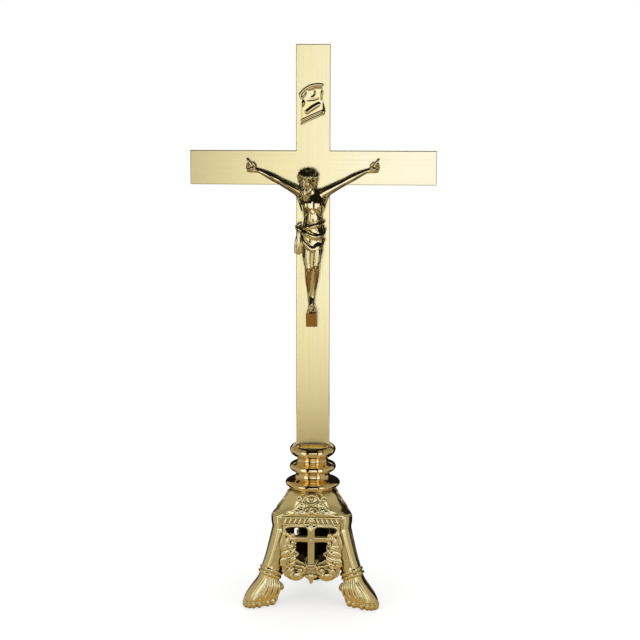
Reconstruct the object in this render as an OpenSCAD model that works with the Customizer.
// Altar crucifix: a brass cross with its figure, held in a turned collar on a cast tripod base.
// Millimetres, +Z up, front towards -Y. The origin is on the standing plane, on the cross's axis.

/* [Cross] */
// Length of the upright from the top of the collar to the middle of the crossbar
lower_arm = 301.5; // [270:0.5:340]
// Length of the upright above the middle of the crossbar
upper_arm = 130; // [115:1:160]
// Length of the crossbar from tip to tip
cross_span = 264; // [220:1:320]
// Width of both bars, seen from the front
bar_w = 36.5; // [32:0.5:40]
// Thickness of both bars
bar_t = 9.5; // [9:0.5:12]
// Chamfer that eases the edges of both bars
edge_ease = 0.8; // [0.4:0.1:1.4]

/* [Lap joint] */
// Diameter of the lap screws
lap_screw_d = 4; // [3:0.5:5]
// Distance of each lap screw from the middle of the crossing, both ways
lap_screw_offset = 10; // [8:0.5:13]
// Depth of the lap screws' thread in the upright
lap_screw_bite = 3.2; // [2.5:0.1:3.6]

/* [Scroll] */
// Width of the scroll
scroll_w = 25; // [20:0.5:30]
// Height of the scroll along its upright edges
scroll_h = 32; // [26:0.5:38]
// How far the scroll's right side stands higher than its left
scroll_rise = 10.5; // [6:0.5:14]
// Distance of the scroll's middle below the top of the upright
scroll_drop = 63; // [50:1:70]
// Thickness of the scroll
scroll_t = 2.4; // [2:0.1:3.5]
// Diameter of the rolls along the scroll's top and bottom
scroll_roll_d = 4; // [3:0.2:5]
// Diameter of the studs behind the scroll
stud_d = 2.5; // [2:0.1:3]

/* [Figure] */
// Height of the figure, from the feet to the top of the head
figure_h = 156; // [140:1:170]
// Diameter of the nails
nail_d = 1.8; // [1.5:0.1:2.2]
// Diameter of the nails' heads
nail_head_d = 3.8; // [3.2:0.1:4.4]
// Depth of the nails in the bars
nail_bite = 6; // [4:0.5:7]
// Width of the block under the feet
footrest_w = 12; // [10:0.5:16]
// Height of the block under the feet
footrest_h = 15.5; // [12:0.5:20]
// How far the block stands out at its top
footrest_top_d = 15; // [13:0.5:18]
// How far the block stands out at its bottom
footrest_low_d = 8; // [6:0.5:10]
// Diameter of the screw behind the block
footrest_screw_d = 4; // [3:0.5:5]

/* [Collar] */
// Radius of the top ring, out to its bulge
top_ring_r = 25.4; // [24:0.2:30]
// Height of the top ring
top_ring_h = 18; // [16:0.5:22]
// Depth of the pocket that holds the upright
pocket_d = 10; // [8:0.5:12]
// Radius of the waist under the top ring
waist_r = 17.2; // [15:0.2:19]
// Height of the waist
waist_h = 4.5; // [3:0.5:8]
// Radius of the middle ring, out to its bulge
middle_ring_r = 25.7; // [24:0.2:29]
// Height of the middle ring
middle_ring_h = 11.5; // [10:0.5:16]
// Radius of the neck under the middle ring
neck_r = 19; // [17:0.2:21]
// Height of the neck
neck_h = 4.5; // [2:0.5:8]
// Radius of the bottom ring, out to its bulge
bottom_ring_r = 30.3; // [28:0.2:34]
// Height of the bottom ring
bottom_ring_h = 15; // [13:0.5:18]
// Radius of the foot under the bottom ring
collar_foot_r = 25; // [23:0.2:27]
// Height of the foot under the bottom ring
collar_foot_h = 4; // [3:0.5:7]
// Radius of the spigots that centre one ring in the next
spigot_r = 10; // [8:0.5:12]
// Height of the spigots
spigot_h = 2; // [1.5:0.5:4]

/* [Tie rod] */
// Diameter of the tie rod
rod_d = 6; // [5:0.5:7]
// Length of the rod's thread in the upright
rod_bite = 24; // [15:1:40]
// Length of the rod below the nut
rod_tail = 4; // [2:0.5:8]
// Diameter of the clamp washer
washer_d = 18; // [14:0.5:22]
// Thickness of the clamp washer
washer_t = 1.6; // [1:0.2:2.4]
// Diameter of the lock washer
lock_washer_d = 11.8; // [10:0.2:14]
// Thickness of the lock washer
lock_washer_t = 1.6; // [1:0.2:2.4]
// Width of the nut across its flats
nut_af = 10; // [9:0.5:13]
// Height of the nut
nut_h = 5; // [4:0.5:7]

/* [Crown] */
// Height of the crown's top, where the collar stands
base_h = 121; // [116:0.5:130]
// Height of the crown, from its seats on the legs to its top
crown_h = 20; // [17:0.5:22]
// Distance from the axis to the flat faces of the crown, at its top
crown_top_r = 28.5; // [27.5:0.1:30]
// Distance from the axis to the flat faces of the crown, at its lower edge
crown_face_r = 31; // [30:0.1:33]
// Distance from the axis to the middle of each corner of the crown
corner_reach = 36.5; // [34.5:0.5:39]
// Wall of the crown
crown_wall = 4; // [3:0.5:5]
// Thickness of the crown's top
crown_top_t = 8; // [6:0.5:10]
// Radius of the three posts inside the crown
post_r = 5; // [4.5:0.5:6]
// Diameter of the leg screws
leg_screw_d = 4; // [3:0.5:5]

/* [Legs] */
// Distance from the axis to the tip of each foot
foot_reach = 86.5; // [82:0.5:92]
// Length of each foot
foot_l = 44.5; // [40:0.5:48]
// Width of each foot
foot_w = 24; // [21:0.5:26]
// Height of each foot at its instep
foot_h = 17; // [15:0.5:19]
// Diameter of the toes
toe_d = 9; // [7:0.5:10]
// Width of each leg where the panels meet it
leg_w = 22.6; // [20:0.2:24]
// Depth of each leg, along the radius
leg_depth = 25.5; // [24:0.5:28]
// Height of the capital at the top of each leg
capital_h = 13; // [10:0.5:16]
// How far the capital stands out
capital_proud = 0.8; // [0.4:0.1:1.2]
// Distance from the axis to the middle of each ankle
ankle_reach = 52; // [49:0.5:55]
// Height of the middle of each ankle
ankle_z = 36; // [34:0.5:39]
// Width of each ankle
ankle_w = 19; // [17:0.5:21]
// Depth of each ankle, along the radius
ankle_depth = 24; // [21:0.5:26]
// Lean of each ankle, outwards at the bottom
ankle_tilt = 25; // [18:1:30]
// Width of the band around each ankle
band_h = 7.5; // [6:0.5:9]
// How far the band stands out
band_proud = 1.3; // [0.6:0.1:2]
// Radius of the curl behind each ankle
curl_r = 4.5; // [3.5:0.5:5]
// Thickness of the ears that the screws hold
ear_t = 4; // [3:0.5:5]
// Height of the ears behind the panels
ear_h = 8; // [7:0.5:9]

/* [Panels] */
// Distance from the axis to a panel's face, at the height of the seats
panel_reach = 30.6; // [30:0.2:31]
// Lean of the panels, outwards at the bottom
panel_lean = 1.5; // [0:0.5:4]
// Thickness of the panels
panel_t = 4.5; // [4:0.5:6]
// Height of the rail above the windows, with its frieze
rail_h = 14.5; // [13:0.5:16]
// Width of the windows at their top
window_w = 50; // [44:0.5:52]
// Width of the windows between the leaves
window_waist_w = 26; // [22:0.5:30]
// How far the windows' upper corners are cut back, along their top
window_corner = 3; // [1:0.5:4]
// How far the windows narrow from their top down to the small cross's crossbar
window_taper = 6; // [4:0.5:8]
// Depth of the leaves' points and hollows along the lower windows
leaf_depth = 3; // [2:0.5:4]
// Width of the small cross's upright
small_upright_w = 7.6; // [6:0.2:9]
// Width of the small cross's crossbar
small_bar_w = 6; // [5:0.2:8]
// Height of the windows above the small cross's crossbar
upper_window_h = 9; // [7:0.5:11]
// Thickness of the ornament on the panels
relief = 2; // [1:0.2:3]
// Height of the scrolls' eyes above the middle of the ankles
volute_rise = 4; // [2:0.5:6]
// Distance of the scrolls' eyes below the windows
volute_drop = 7; // [6:0.5:8]
// Height of the panel's plate below the scrolls' eyes
plate_drop = 5; // [4:0.5:6]
// Width of the plate beside the windows, into the joint with the legs
plate_margin = 8; // [7:0.5:10]
// Radius of the scrolls under the windows
volute_r = 6.5; // [5:0.5:7]
// Distance of each scroll's eye from the middle of the panel
volute_x = 11.5; // [10.5:0.5:13]
// Width of the drop at the middle of the lower edge
drop_w = 13; // [10:0.5:16]
// Radius of the lobes along the lower edge
lobe_r = 5.2; // [4:0.2:6]
// Diameter of the panel screws
panel_screw_d = 3; // [2.5:0.5:4]

/* [Clearances] */
// Running clearance around the rod in the crown, on the radius
rod_gap = 0.05; // [0.02:0.01:0.1]
// Clearance around threads, studs, nails and spigots, on the radius
fit_gap = 0.05; // [0.02:0.01:0.1]
// Clearance around screws in the holes that they pass through, on the radius
screw_gap = 0.25; // [0.1:0.05:0.5]
// Clearance around the upright in its pocket
pocket_gap = 0.1; // [0.05:0.05:0.3]
// Clearance around the nails in the figure, on the radius
nail_gap = 0.3; // [0.2:0.05:0.5]
// Clearance between the leg screws' heads and the legs
head_gap = 0.5; // [0.3:0.1:1]
// Clearance between the panels and the legs
panel_gap = 0.05; // [0.02:0.01:0.2]

/* [Hidden] */
$fn = 64;

PALE_BRASS = [0.93, 0.89, 0.70];
GOLD_BRASS = [0.85, 0.66, 0.24];
DARK_BRASS = [0.62, 0.45, 0.16];
STEEL = [0.62, 0.62, 0.60];

// Heights of the stack, from the base up
seat_z = base_h - crown_h;
foot_top_z = base_h + collar_foot_h;
bottom_ring_z = foot_top_z + bottom_ring_h / 2;
neck_z = foot_top_z + bottom_ring_h;
middle_ring_z = neck_z + neck_h + middle_ring_h / 2;
waist_z = neck_z + neck_h + middle_ring_h;
top_ring_low_z = waist_z + waist_h;
collar_top_z = top_ring_low_z + top_ring_h;
upright_low_z = collar_top_z - pocket_d;
crossbar_z = collar_top_z + lower_arm;
cross_top_z = crossbar_z + upper_arm;
face_y = -bar_t / 2;

// Overlap that keeps cuts and joined solids clear of shared faces
cut = 0.5;

// Heads of the countersunk screws
lap_head_d = 2 * lap_screw_d;
footrest_head_d = 2 * footrest_screw_d;

// Angles of the legs, and of the panels from the front one
LEG_ANGLES = [210, 330, 90];
PANEL_TURNS = [0, 240, 120];

// Shared shapes

// Signed power that squares a circle off
function squared(v, power) = sign(v) * pow(abs(v), 2 / power);

// Angle of the path at a station, in the plane of X and Z
function path_angle(s, i) =
    let (from = s[max(i - 1, 0)], to = s[min(i + 1, len(s) - 1)])
    atan2(to[2] - from[2], to[0] - from[0]);

// One ring of points square to the path at a station of [x, y, z, half width, half depth]
function ring(s, i, sides, power) =
    let (tilt = path_angle(s, i) - 90)
    [for (k = [0 : sides - 1])
        let (u = s[i][3] * squared(cos(360 * k / sides), power))
        let (v = s[i][4] * squared(sin(360 * k / sides), power))
        [s[i][0] + u * cos(tilt), s[i][1] + v, s[i][2] + u * sin(tilt)]];

// Closed skin through rings along a path, listed from its lower end
module limb(s, sides = 16, power = 2) {
    n = sides;
    last = (len(s) - 1) * n;
    points = [for (i = [0 : len(s) - 1]) each ring(s, i, n, power)];
    walls = [for (i = [0 : len(s) - 2], k = [0 : n - 1])
        each [
            [i * n + k, (i + 1) * n + k, (i + 1) * n + (k + 1) % n],
            [i * n + k, (i + 1) * n + (k + 1) % n, i * n + (k + 1) % n]
        ]];
    low_cap = [for (k = [0 : n - 1]) k];
    high_cap = [for (k = [0 : n - 1]) last + n - 1 - k];
    polyhedron(points, concat(walls, [low_cap, high_cap]));
}

// Bar standing on its lower end, with eased edges
module eased_bar(length) {
    e = edge_ease;
    intersection() {
        linear_extrude(length) polygon(eased_outline(bar_w, bar_t, e));
        translate([-bar_w / 2, 0, length / 2])
            rotate([90, 0, 90])
                linear_extrude(bar_w) polygon(eased_outline(bar_t, length, e));
    }
}

// Rectangle about the origin with its corners cut off
function eased_outline(w, h, e) = [
    [-w / 2 + e, -h / 2], [w / 2 - e, -h / 2], [w / 2, -h / 2 + e], [w / 2, h / 2 - e],
    [w / 2 - e, h / 2], [-w / 2 + e, h / 2], [-w / 2, h / 2 - e], [-w / 2, -h / 2 + e]
];

// Ring of round section with a solid middle, resting on z = 0
module bulged_ring(r, h) {
    tube = h / 2;
    translate([0, 0, tube]) rotate_extrude() translate([r - tube, 0]) circle(tube);
    cylinder(r = r - tube, h = h);
}

// Screw along +Z with its head's face on z = 0 and its tip at z = length
module countersunk_screw(d, head_d, length) {
    cylinder(d1 = head_d, d2 = d, h = (head_d - d) / 2);
    cylinder(d = d, h = length);
}

// Diameter of the head of a cheese-headed screw
function cheese_head_d(d) = 1.8 * d;

// Screw along +Z with a cheese head below z = 0
module cheese_screw(d, length) {
    translate([0, 0, -0.7 * d]) cylinder(d = cheese_head_d(d), h = 0.7 * d);
    cylinder(d = d, h = length);
}

// Turns what stands on z = 0 to point forwards, along -Y, from the plane y = 0
module facing_front() {
    rotate([90, 0, 0]) children();
}

// Turns what stands on z = 0 to point backwards, along +Y, from the plane y = 0
module facing_back() {
    rotate([-90, 0, 0]) children();
}

// Cross

// The whole cross before it is split at the lap
module cross_blank() {
    translate([0, 0, upright_low_z]) eased_bar(cross_top_z - upright_low_z);
    translate([-cross_span / 2, 0, crossbar_z]) rotate([0, 90, 0]) eased_bar(cross_span);
}

// Places of the lap screws on the back of the cross
module at_lap_screws() {
    for (sx = [-1, 1], sz = [-1, 1])
        translate([sx * lap_screw_offset, bar_t / 2, crossbar_z + sz * lap_screw_offset])
            facing_front() children();
}

lap_screw_l = bar_t / 2 + lap_screw_bite;

// Hole in a bar for a nail
module nail_hole(p) {
    translate([p[0], face_y - cut, p[2]]) facing_back()
        cylinder(d = nail_d + 2 * fit_gap, h = nail_bite + cut + fit_gap);
}

module cross_upright() {
    color(PALE_BRASS) difference() {
        intersection() {
            cross_blank();
            translate([-bar_w / 2, -bar_t, 0]) cube([bar_w, 2 * bar_t, cross_top_z + cut]);
        }
        translate([-bar_w, 0, crossbar_z - bar_w / 2]) cube([2 * bar_w, bar_t, bar_w]);
        at_lap_screws() cylinder(d = lap_screw_d + 2 * fit_gap, h = lap_screw_l + fit_gap);
        translate([0, 0, upright_low_z - cut])
            cylinder(d = rod_d + 2 * fit_gap, h = rod_bite + cut + fit_gap);
        at_studs() translate([0, 0, -cut]) cylinder(d = stud_d + 2 * fit_gap, h = bar_t + 2 * cut);
        nail_hole(foot_nail);
        at_footrest_screw() countersunk_screw(
            footrest_screw_d + 2 * screw_gap, footrest_head_d + 2 * screw_gap, bar_t + cut);
    }
}

module crossbar() {
    color(PALE_BRASS) difference() {
        intersection() {
            cross_blank();
            translate([-cross_span, -bar_t, crossbar_z - bar_w / 2])
                cube([2 * cross_span, 2 * bar_t, bar_w]);
        }
        translate([-bar_w / 2, -bar_t, crossbar_z - bar_w]) cube([bar_w, bar_t, 2 * bar_w]);
        at_lap_screws()
            countersunk_screw(lap_screw_d + 2 * screw_gap, lap_head_d + 2 * screw_gap, bar_t);
        for (p = hand_nails) nail_hole(p);
    }
}

module lap_screws() {
    color(STEEL) at_lap_screws() countersunk_screw(lap_screw_d, lap_head_d, lap_screw_l);
}

// Scroll

scroll_mid_z = cross_top_z - scroll_drop;
scroll_half_rise = scroll_rise / 2;
stud_spread = scroll_h / 4;
stud_sink = scroll_t / 2;

// Corner of the scroll, sx and sz being -1 or 1
function scroll_corner(sx, sz) = [sx * scroll_w / 2, sx * scroll_half_rise + sz * scroll_h / 2];

// Roll along an edge of the scroll, from its left end to its right
module scroll_edge_roll(sz) {
    from = scroll_corner(-1, sz);
    slope = atan2(scroll_rise, scroll_w);
    translate([from[0], -scroll_roll_d / 2, from[1]]) rotate([0, 90 - slope, 0])
        cylinder(d = scroll_roll_d, h = norm([scroll_w, scroll_rise]));
}

module titulus_scroll() {
    color(GOLD_BRASS) translate([0, face_y, scroll_mid_z]) difference() {
        union() {
            facing_front() linear_extrude(scroll_t) polygon([
                scroll_corner(-1, -1), scroll_corner(1, -1), scroll_corner(1, 1), scroll_corner(-1, 1)
            ]);
            scroll_edge_roll(1);
            scroll_edge_roll(-1);
        }
        for (sz = [-1, 1]) translate([0, cut, sz * stud_spread]) facing_front()
            cylinder(d = stud_d + 2 * fit_gap, h = stud_sink + cut + fit_gap);
    }
}

// Places of the studs on the back of the upright
module at_studs() {
    for (sz = [-1, 1])
        translate([0, bar_t / 2, scroll_mid_z + sz * stud_spread]) facing_front() children();
}

module titulus_studs() {
    color(DARK_BRASS) at_studs() cylinder(d = stud_d, h = bar_t + stud_sink);
}

// Figure: stations in millimetres for a figure 156 high, from the middle of the crossbar's face

k = figure_h / 156;
feet_z = -155.7 * k;
hand_nails = [[-63.8 * k, 0, crossbar_z - 3 * k], [63.2 * k, 0, crossbar_z - 2.4 * k]];
foot_nail = [-0.9 * k, 0, crossbar_z - 148.5 * k];
hand_nail_seat = 5.2 * k;
foot_nail_seat = 14.5 * k;

TORSO = [
    [1.3, -8, -72, 12, 7.2], [1.3, -8, -66, 12.2, 7.6], [0.9, -8, -60, 11.2, 7.2],
    [0.8, -8, -54, 10.5, 7], [0.6, -8.5, -46, 11.4, 7.8], [0.2, -9, -38, 13.2, 8.8],
    [0, -9, -31, 14.2, 8.6], [0, -8.2, -26, 14.8, 7], [-0.4, -8, -22, 9.5, 5.6],
    [-1.5, -9, -18, 5, 4.6]
];
CLOTH = [
    [-0.5, -8.4, -90, 9.6, 7.8], [0, -8.6, -86, 12.2, 9], [0.4, -8.7, -78, 13.2, 9.6],
    [0.8, -8.6, -68, 13.4, 9.4], [1, -8.2, -61, 12.2, 8.4], [0.9, -8, -57.5, 11, 7.4]
];
CLOTH_TAIL = [
    [-15.6, -8, -93, 2.2, 1.6], [-16.4, -8.4, -86, 3.6, 2.2], [-15.6, -9, -76, 3.4, 2.4],
    [-15, -9.5, -68, 2.4, 2.2]
];
LEFT_LEG = [
    [-2.2, -8, -143, 2.9, 3], [-3, -8, -132, 3.4, 3.6], [-4, -9, -121, 4.4, 4.6],
    [-4.1, -10.5, -113, 4.5, 4.8], [-3.8, -12.5, -105, 4.5, 4.8], [-4.4, -11.5, -97, 5.4, 5.6],
    [-5.4, -9, -84, 6.4, 6.8]
];
RIGHT_LEG = [
    [-0.2, -10.5, -142, 2.9, 3], [0.9, -10, -131, 3.4, 3.6], [2.7, -10, -119, 4.4, 4.6],
    [3.6, -11.2, -110, 4.5, 4.8], [3.9, -12.8, -102, 4.5, 4.8], [4.6, -11.5, -94, 5.4, 5.6],
    [5.6, -9, -82, 6.4, 6.8]
];
UNDER_FOOT = [
    [-0.2, -7.5, -155.7, 2.6, 1.6], [-0.4, -8, -150, 3.2, 2.6], [-1.6, -8, -143, 2.9, 3.2],
    [-2.2, -8, -139, 2.6, 2.8]
];
UPPER_FOOT = [
    [-1.4, -11, -155.7, 2.6, 1.6], [-1.2, -13, -150, 3.2, 2.6], [-0.5, -11.5, -143, 2.9, 3.2],
    [-0.1, -10.5, -139, 2.6, 2.8]
];
LEFT_ARM = [
    [-10, -8, -27, 5.4, 5.4], [-17, -7.4, -23.5, 5, 5], [-26, -6.6, -18.4, 4.2, 4.2],
    [-35, -6, -13.6, 3.7, 3.7], [-43, -5.6, -9.6, 3.9, 3.8], [-51, -5, -5.6, 3.2, 3.1],
    [-57.5, -4.4, -3.2, 2.6, 2.4], [-61, -4, -2.4, 3.4, 2]
];
RIGHT_ARM = [
    [10, -8, -26, 5.4, 5.4], [17.5, -7.4, -22, 5, 5], [26, -6.6, -17.6, 4.2, 4.2],
    [35, -6, -13, 3.7, 3.7], [43, -5.6, -9.4, 3.9, 3.8], [51, -5, -5.8, 3.2, 3.1],
    [57, -4.4, -3.4, 2.6, 2.4], [60.5, -4, -2.6, 3.4, 2]
];
HEAD = [
    [-4.8, -15.5, -26, 3, 4], [-5.2, -16.5, -22, 5.6, 6.4], [-5.6, -16, -15, 6.8, 8],
    [-5.4, -15, -8, 6.6, 7.8], [-5, -14.5, -3, 4.8, 5.8], [-4.7, -14.2, -0.4, 2, 2.4]
];
HAIR = [
    [-9.5, -11, -30, 5, 4], [-7, -11.5, -24, 8.6, 5.4], [-6.6, -12, -16, 10.6, 6.4],
    [-6.2, -12.4, -9, 10.4, 7], [-5.2, -13, -3, 7, 6.4], [-4.8, -13.4, 0, 3, 3]
];
BEARD = [
    [-5.4, -16.5, -34.5, 1.4, 1.2], [-5.4, -17.5, -30, 3.2, 2.6], [-5.2, -17.5, -25, 4.4, 3.6]
];
// Fingers of a hand from its knuckle to its tip, for the right hand: x, y and z of both ends
FINGERS = [
    [64.6, -4, 0.6, 68.6, -5, 9.2], [65.6, -4, -1, 70.4, -6.4, 3.4], [65.8, -3.8, -2.8, 70.2, -6.4, 0.2],
    [65.4, -3.6, -4.6, 68.8, -6.2, -3.4], [61.4, -4.6, -0.4, 63.6, -6.4, 5.2]
];
PALM = [
    [58, -3.9, -2.9, 2.4, 2.2], [61.5, -3.6, -2.2, 3.6, 3], [65, -3.7, -1.6, 3.9, 2.9],
    [67.4, -4, -1.2, 3, 2]
];
FINGER_R = 1.35;
FINGER_TIP_R = 1.1;
FIGURE_FN = 16;

// Palm and fingers of the right hand
module hand() {
    limb(PALM, 12);
    for (f = FINGERS)
        limb([[f[0], f[1], f[2], FINGER_R, FINGER_R], [f[3], f[4], f[5], FINGER_TIP_R, FINGER_TIP_R]], 8);
}

// Cut for a nail: the hole, and a flat place for its head at a depth in front of the cross
module nail_cut(p, seat) {
    translate([p[0], face_y - seat, p[2]]) {
        facing_back() translate([0, 0, -cut])
            cylinder(d = nail_d + 2 * nail_gap, h = seat + 2 * cut, $fn = FIGURE_FN);
        facing_front() cylinder(d = nail_head_d + 2 * nail_gap, h = figure_h, $fn = FIGURE_FN);
    }
}

module corpus() {
    color(GOLD_BRASS) difference() {
        translate([0, face_y, crossbar_z]) scale(k) {
            limb(TORSO, 20);
            limb(CLOTH, 20);
            limb(CLOTH_TAIL, 12);
            translate([-14.6, -10.5, -64.5]) sphere(3.6, $fn = FIGURE_FN);
            limb(LEFT_LEG);
            limb(RIGHT_LEG);
            limb(UNDER_FOOT, 12);
            limb(UPPER_FOOT, 12);
            limb(LEFT_ARM, 14);
            mirror([1, 0, 0]) limb([for (s = RIGHT_ARM) [-s[0], s[1], s[2], s[3], s[4]]], 14);
            limb(HEAD, 18);
            limb(HAIR, 18);
            limb(BEARD, 12);
            for (side = [0, 1]) mirror([side, 0, 0]) hand();
        }
        translate([-cross_span, face_y, 0]) cube([2 * cross_span, 2 * bar_t, 2 * cross_top_z]);
        for (p = hand_nails) nail_cut(p, hand_nail_seat);
        nail_cut(foot_nail, foot_nail_seat);
    }
}

// One nail with a domed head, its head's underside at a depth in front of the cross
module nail(p, seat) {
    translate([p[0], face_y - seat, p[2]]) {
        facing_back() cylinder(d = nail_d, h = seat + nail_bite);
        facing_front() intersection() {
            translate([0, 0, -nail_head_d / 4]) sphere(r = nail_head_d * 5 / 8);
            cylinder(d = nail_head_d, h = nail_head_d);
        }
    }
}

module corpus_nails() {
    color(DARK_BRASS) {
        for (p = hand_nails) nail(p, hand_nail_seat);
        nail(foot_nail, foot_nail_seat);
    }
}

footrest_top_z = crossbar_z + feet_z;
footrest_screw_z = footrest_top_z - footrest_h / 2;
footrest_screw_l = bar_t + footrest_low_d - 2;

module footrest() {
    color(GOLD_BRASS) difference() {
        translate([foot_nail[0] - footrest_w / 2, face_y, footrest_top_z]) rotate([90, 0, 90])
            linear_extrude(footrest_w)
                polygon([[0, 0], [-footrest_top_d, 0], [-footrest_low_d, -footrest_h], [0, -footrest_h]]);
        at_footrest_screw() cylinder(d = footrest_screw_d + 2 * fit_gap, h = footrest_screw_l + fit_gap);
    }
}

// Place of the screw on the back of the upright
module at_footrest_screw() {
    translate([foot_nail[0], bar_t / 2, footrest_screw_z]) facing_front() children();
}

module footrest_screw() {
    color(STEEL) at_footrest_screw() countersunk_screw(footrest_screw_d, footrest_head_d, footrest_screw_l);
}

// Collar

// Recess that takes the spigot of the ring below
module spigot_recess(z) {
    translate([0, 0, z - cut]) cylinder(r = spigot_r + fit_gap, h = spigot_h + fit_gap + cut);
}

// Hole for the rod through the rings
module rod_hole(gap) {
    cylinder(d = rod_d + 2 * gap, h = cross_top_z);
}

module collar_top_ring() {
    pocket_w = bar_w + 2 * pocket_gap;
    pocket_t = bar_t + 2 * pocket_gap;
    color(GOLD_BRASS) difference() {
        translate([0, 0, top_ring_low_z]) bulged_ring(top_ring_r, top_ring_h);
        translate([-pocket_w / 2, -pocket_t / 2, upright_low_z]) cube([pocket_w, pocket_t, top_ring_h]);
        spigot_recess(top_ring_low_z);
        rod_hole(screw_gap);
    }
}

module collar_middle_ring() {
    color(GOLD_BRASS) difference() {
        union() {
            translate([0, 0, waist_z - middle_ring_h]) bulged_ring(middle_ring_r, middle_ring_h);
            translate([0, 0, waist_z - cut]) cylinder(r = waist_r, h = waist_h + cut);
            translate([0, 0, waist_z]) cylinder(r = spigot_r, h = waist_h + spigot_h);
        }
        spigot_recess(waist_z - middle_ring_h);
        rod_hole(screw_gap);
    }
}

module collar_bottom_ring() {
    color(GOLD_BRASS) difference() {
        union() {
            translate([0, 0, base_h]) cylinder(r = collar_foot_r, h = collar_foot_h + bottom_ring_h / 2);
            translate([0, 0, foot_top_z]) bulged_ring(bottom_ring_r, bottom_ring_h);
            translate([0, 0, bottom_ring_z]) {
                cylinder(r = neck_r, h = bottom_ring_h / 2 + neck_h);
                cylinder(r = spigot_r, h = bottom_ring_h / 2 + neck_h + spigot_h);
            }
        }
        rod_hole(screw_gap);
    }
}

// Tie rod

crown_under_z = base_h - crown_top_t;
lock_washer_z = crown_under_z - washer_t;
nut_top_z = lock_washer_z - lock_washer_t;
rod_low_z = nut_top_z - nut_h - rod_tail;

module tie_rod() {
    color(STEEL) translate([0, 0, rod_low_z]) cylinder(d = rod_d, h = upright_low_z + rod_bite - rod_low_z);
}

// Flat ring around the rod, below a height
module washer(z, d, t) {
    translate([0, 0, z - t]) difference() {
        cylinder(d = d, h = t);
        translate([0, 0, -cut]) cylinder(d = rod_d + 2 * screw_gap, h = t + 2 * cut);
    }
}

module clamp_washer() {
    color(STEEL) washer(crown_under_z, washer_d, washer_t);
}

module lock_washer() {
    slit = lock_washer_t / 2;
    color(STEEL) difference() {
        washer(lock_washer_z, lock_washer_d, lock_washer_t);
        translate([0, -slit / 2, nut_top_z - cut]) cube([lock_washer_d, slit, lock_washer_t + 2 * cut]);
    }
}

module clamp_nut() {
    color(STEEL) translate([0, 0, nut_top_z - nut_h]) difference() {
        cylinder(d = nut_af / cos(30), h = nut_h, $fn = 6);
        translate([0, 0, -cut]) cylinder(d = rod_d + 2 * fit_gap, h = nut_h + 2 * cut);
    }
}

// Crown: sections from the top down, each a triangle with round corners

slice_t = 0.01;
post_reach = corner_reach - leg_depth / 2 - capital_proud - cheese_head_d(leg_screw_d) / 2 - head_gap;

// Section at a share of the crown's height from its top, and a share of the way out to its corners
function crown_section(down, out) =
    let (reach = out * corner_reach)
    let (face = crown_top_r + down * (crown_face_r - crown_top_r))
    [base_h - slice_t - down * (crown_h - slice_t), reach, face - reach * sin(30)];

CROWN_SECTIONS = [
    crown_section(0, 0.06), crown_section(0.36, 0.25), crown_section(0.6, 0.62), crown_section(0.9, 0.97),
    crown_section(1, 1)
];

// One thin slice of the crown, shrunk by a wall
module crown_slice(section, wall) {
    for (a = LEG_ANGLES) rotate(a) translate([section[1], 0, section[0]])
        cylinder(r = section[2] - wall, h = slice_t, $fn = 32);
}

// Skin over a run of sections, shrunk by a wall
module crown_form(sections, wall) {
    for (i = [0 : len(sections) - 2]) hull() {
        crown_slice(sections[i], wall);
        crown_slice(sections[i + 1], wall);
    }
}

module base_crown() {
    shoulder = CROWN_SECTIONS[1];
    rim = CROWN_SECTIONS[4];
    cavity = [[crown_under_z - slice_t, shoulder[1], shoulder[2]], [seat_z - cut, rim[1], rim[2]]];
    color(GOLD_BRASS) difference() {
        union() {
            difference() {
                crown_form(CROWN_SECTIONS, 0);
                crown_form(cavity, crown_wall);
            }
            for (a = LEG_ANGLES) rotate(a) translate([post_reach, 0, seat_z])
                cylinder(r = post_r, h = crown_under_z + cut - seat_z);
        }
        translate([0, 0, seat_z - cut]) cylinder(d = rod_d + 2 * rod_gap, h = crown_h + 2 * cut);
        at_leg_screws() cylinder(d = leg_screw_d + 2 * fit_gap, h = leg_screw_l + fit_gap);
    }
}

// Legs, drawn along +X and turned to their places

ear_low_z = seat_z - ear_t;
leg_screw_bite = 2.2 * leg_screw_d;
leg_screw_l = ear_t + leg_screw_bite;

// Places of the leg screws, from under the ears
module at_leg_screws() {
    for (a = LEG_ANGLES) rotate(a) translate([post_reach, 0, ear_low_z]) children();
}

module leg_screws() {
    color(STEEL) at_leg_screws() cheese_screw(leg_screw_d, leg_screw_l);
}

foot_mid = foot_reach - foot_l / 2;
foot_heel = foot_reach - foot_l;
half_w = leg_w / 2;
half_d = leg_depth / 2;
calf_half_w = half_w - capital_proud;
capital_low = seat_z - capital_h;
capital_edge = 1;

// Station of the foot at a height, drawn in from its full length and width, and moved inwards
function foot_station(z, shorter, narrower, inwards) =
    [foot_mid - inwards, 0, z, foot_l / 2 - shorter, foot_w / 2 - narrower];

// Station on the ankle's axis at a distance above its middle, with a swelling
function ankle_station(above, swell) = [
    ankle_reach - above * sin(ankle_tilt), 0, ankle_z + above * cos(ankle_tilt),
    ankle_depth / 2 + swell, ankle_w / 2 + swell
];

// Station between the ankle and the capital, at a share of the height, the reach and the size
function calf_station(up, in, size) = [
    ankle_reach + in * (corner_reach - ankle_reach), 0, ankle_z + up * (capital_low - ankle_z),
    ankle_depth / 2 + size * (half_d - ankle_depth / 2), ankle_w / 2 + size * (calf_half_w - ankle_w / 2)
];

// Station of the capital at a height, with a swelling
function capital_station(z, swell) =
    [corner_reach, 0, z, half_d + swell, calf_half_w + swell];

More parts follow.
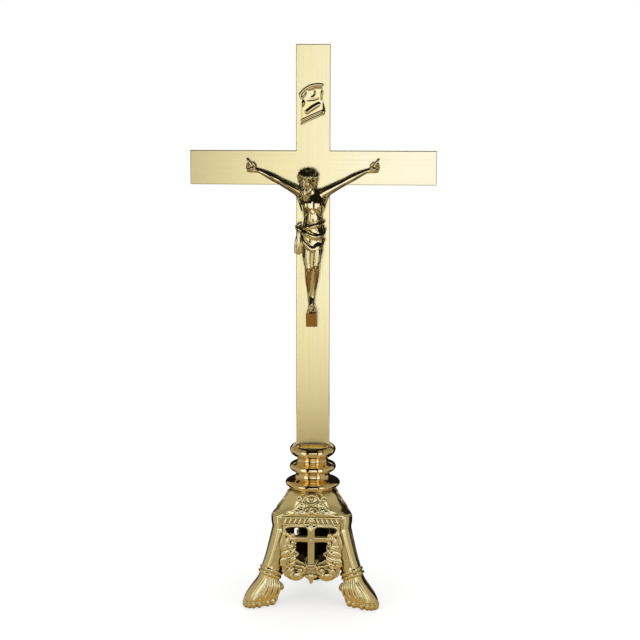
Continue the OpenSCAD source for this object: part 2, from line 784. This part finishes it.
LEG_STATIONS = concat(
    [
        foot_station(0, 2.5, 2.2, 0), foot_station(foot_h / 6, 0.4, 0.4, 0),
        foot_station(foot_h / 2, 0, 0, 0), foot_station(foot_h, 4.5, 0.6, 2.5),
        foot_station(1.45 * foot_h, 8, 1.6, 6.5)
    ],
    [
        for (s = [[-0.6, 0], [-0.5, 1], [-0.08, 1], [0, 0.3], [0.08, 1], [0.5, 1], [0.6, 0]])
            ankle_station(s[0] * band_h, s[1] * band_proud)
    ],
    [
        calf_station(0.4, 0.5, 0.4), calf_station(0.68, 0.8, 0.8), calf_station(0.88, 0.94, 1),
        calf_station(1, 1, 1)
    ],
    [
        capital_station(capital_low + capital_edge, capital_proud),
        capital_station(seat_z - capital_edge, capital_proud), capital_station(seat_z, 0)
    ]
);
LEG_SQUARENESS = 3;

// Toes around the front of the foot, on both sides
module toes() {
    for (side = [-1, 1], a = [30 : 22 : 118])
        translate([
            foot_mid + (foot_l - toe_d) / 2 * squared(cos(a), LEG_SQUARENESS),
            side * (foot_w - toe_d) / 2 * squared(sin(a), LEG_SQUARENESS),
            0.42 * toe_d
        ]) sphere(d = toe_d);
}

// Distance from the middle of a panel to well inside the leg, at a distance in front of the axis
function leg_side_x(depth) = (depth * cos(30) - half_w / 2) / sin(30);

// Ear at a height behind a panel, from its screw to inside the leg, side being -1 or 1
module panel_ear(side, z) {
    from = volute_x - ear_h / 2;
    to = leg_side_x(panel_reach - panel_t - ear_t / 2);
    mirror([side < 0 ? 1 : 0, 0, 0]) in_panel(z) translate([from, panel_t, -ear_h / 2])
        cube([to - from, ear_t, ear_h]);
}

// Carries what is drawn on the front panel's right side to the leg drawn along +X
module beside_leg(side) {
    rotate(side > 0 ? 30 : 150) children();
}

module leg() {
    color(GOLD_BRASS) difference() {
        union() {
            limb(LEG_STATIONS, 20, LEG_SQUARENESS);
            toes();
            translate([foot_heel, foot_w / 4, foot_h + curl_r / 4]) rotate([90, 0, 0])
                cylinder(r = curl_r, h = foot_w / 2);
            translate([post_reach - post_r, -post_r, ear_low_z])
                cube([corner_reach - post_reach, 2 * post_r, ear_t]);
            for (side = [-1, 1], z = EAR_HEIGHTS) beside_leg(side) panel_ear(side, z);
        }
        translate([0, -foot_reach, -foot_reach]) cube([2 * foot_reach, 2 * foot_reach, foot_reach]);
        translate([post_reach, 0, ear_low_z - cut])
            cylinder(d = leg_screw_d + 2 * screw_gap, h = ear_t + 2 * cut);
        for (side = [-1, 1], z = EAR_HEIGHTS) beside_leg(side) in_panel(z)
            translate([side * volute_x, panel_t - cut, 0]) facing_back()
                cylinder(d = panel_screw_d + 2 * screw_gap, h = ear_t + 2 * cut);
    }
}

module leg_front_left() {
    rotate(LEG_ANGLES[0]) leg();
}

module leg_front_right() {
    rotate(LEG_ANGLES[1]) leg();
}

module leg_rear() {
    rotate(LEG_ANGLES[2]) leg();
}

// Panels, drawn facing the front and turned to their places

window_top = seat_z - rail_h;
volute_z = ankle_z + volute_rise;
window_low = volute_z + volute_drop;
window_h = window_top - window_low;
plate_low = volute_z - plate_drop;
plate_half_w = window_w / 2 + plate_margin;
arm_top = window_top - upper_window_h;
arm_low = arm_top - small_bar_w;
EAR_HEIGHTS = [seat_z - rail_h / 2, volute_z];

// Carries what is drawn at a height into the leaning panel, with y = 0 on the panel's face
module in_panel(z) {
    translate([0, -panel_reach, seat_z]) rotate([-panel_lean, 0, 0])
        translate([0, 0, z - seat_z]) children();
}

// The two windows to the right of the small cross
module window_outline() {
    x0 = small_upright_w / 2;
    x1 = window_w / 2;
    x2 = window_waist_w / 2;
    leaf = (arm_low - window_low) / 4;
    polygon([
        [x0, arm_top], [x1 - window_taper, arm_top], [x1, window_top - window_corner],
        [x1 - window_corner, window_top], [x0, window_top]
    ]);
    polygon([
        [x0, window_low + leaf / 2], [x0 + leaf_depth, window_low], [x2, window_low + leaf / 2],
        [x2 + leaf_depth, window_low + leaf], [x2, window_low + 2 * leaf],
        [x2 + leaf_depth, window_low + 3 * leaf], [x2 + leaf_depth / 2, arm_low], [x0, arm_low]
    ]);
}

// Outline of the panel's plate before the windows are cut
module plate_outline() {
    translate([-plate_half_w, plate_low]) square([2 * plate_half_w, seat_z - plate_low]);
    for (sx = [-1, 1]) {
        translate([sx * volute_x, volute_z]) circle(volute_r);
        translate([sx * (volute_x + volute_r), plate_low - lobe_r / 2]) circle(lobe_r);
        translate([sx * (plate_half_w - lobe_r), plate_low]) circle(lobe_r);
    }
    translate([0, plate_low - drop_w / 4]) rotate(45) square(drop_w * sin(45), center = true);
}

// Everything between the two legs' sides, in plan, from the floor to the seats
module between_legs() {
    c = half_w + panel_gap;
    far = 2 * foot_reach;
    apex = -c / cos(30);
    edge = -(c + far * sin(30)) / cos(30);
    linear_extrude(seat_z) polygon([[0, apex], [-far, edge], [far, edge]]);
}

// Moulding across the panel's face at a height
module moulding(z, r) {
    translate([-plate_half_w, 0, z]) rotate([0, 90, 0]) cylinder(r = r, h = 2 * plate_half_w);
}

// Raised ornament on the panel's face
module panel_relief() {
    bead_z = seat_z - 0.3 * rail_h;
    inset = 1;
    arm_half_w = window_w / 2 - leaf_depth;
    moulding(seat_z - relief, relief);
    moulding(window_top + relief, 0.7 * relief);
    for (x = [-4.5 : 4.5]) translate([x * window_w / 9, 0, bead_z]) sphere(1.3 * relief);
    translate([-arm_half_w, -relief / 2, arm_low + inset])
        cube([2 * arm_half_w, relief, small_bar_w - 2 * inset]);
    translate([-small_upright_w / 2 + inset, -relief / 2, window_low - inset])
        cube([small_upright_w - 2 * inset, relief, window_h + 2 * inset]);
    for (sx = [-1, 1]) translate([sx * volute_x, 0, volute_z]) {
        facing_front() rotate_extrude() translate([volute_r - 0.8 * relief, 0]) circle(0.8 * relief);
        sphere(1.2 * relief);
    }
    translate([0, 0, volute_z + relief]) sphere(1.6 * relief);
}

module panel() {
    color(GOLD_BRASS) difference() {
        intersection() {
            in_panel(0) difference() {
                union() {
                    translate([0, panel_t, 0]) facing_front() linear_extrude(panel_t) plate_outline();
                    panel_relief();
                }
                for (sx = [0, 1]) mirror([sx, 0, 0]) translate([0, panel_t + cut, 0]) facing_front()
                    linear_extrude(panel_t + relief + 2 * cut) window_outline();
            }
            between_legs();
        }
        at_panel_screws() cylinder(d = panel_screw_d + 2 * fit_gap, h = panel_screw_l + fit_gap);
    }
}

panel_screw_bite = panel_t - 1.5;
panel_screw_l = ear_t + panel_screw_bite;

// Places of one panel's screws, from behind the ears
module at_panel_screws() {
    for (sx = [-1, 1], z = EAR_HEIGHTS)
        in_panel(z) translate([sx * volute_x, panel_t + ear_t, 0]) facing_front() children();
}

module panel_front() {
    rotate(PANEL_TURNS[0]) panel();
}

module panel_rear_left() {
    rotate(PANEL_TURNS[1]) panel();
}

module panel_rear_right() {
    rotate(PANEL_TURNS[2]) panel();
}

module panel_screws() {
    color(STEEL) for (a = PANEL_TURNS) rotate(a)
        at_panel_screws() cheese_screw(panel_screw_d, panel_screw_l);
}

cross_upright();
crossbar();
lap_screws();
titulus_scroll();
titulus_studs();
corpus();
corpus_nails();
footrest();
footrest_screw();
collar_top_ring();
collar_middle_ring();
collar_bottom_ring();
tie_rod();
clamp_washer();
lock_washer();
clamp_nut();
base_crown();
leg_front_left();
leg_front_right();
leg_rear();
panel_front();
panel_rear_left();
panel_rear_right();
panel_screws();
leg_screws();
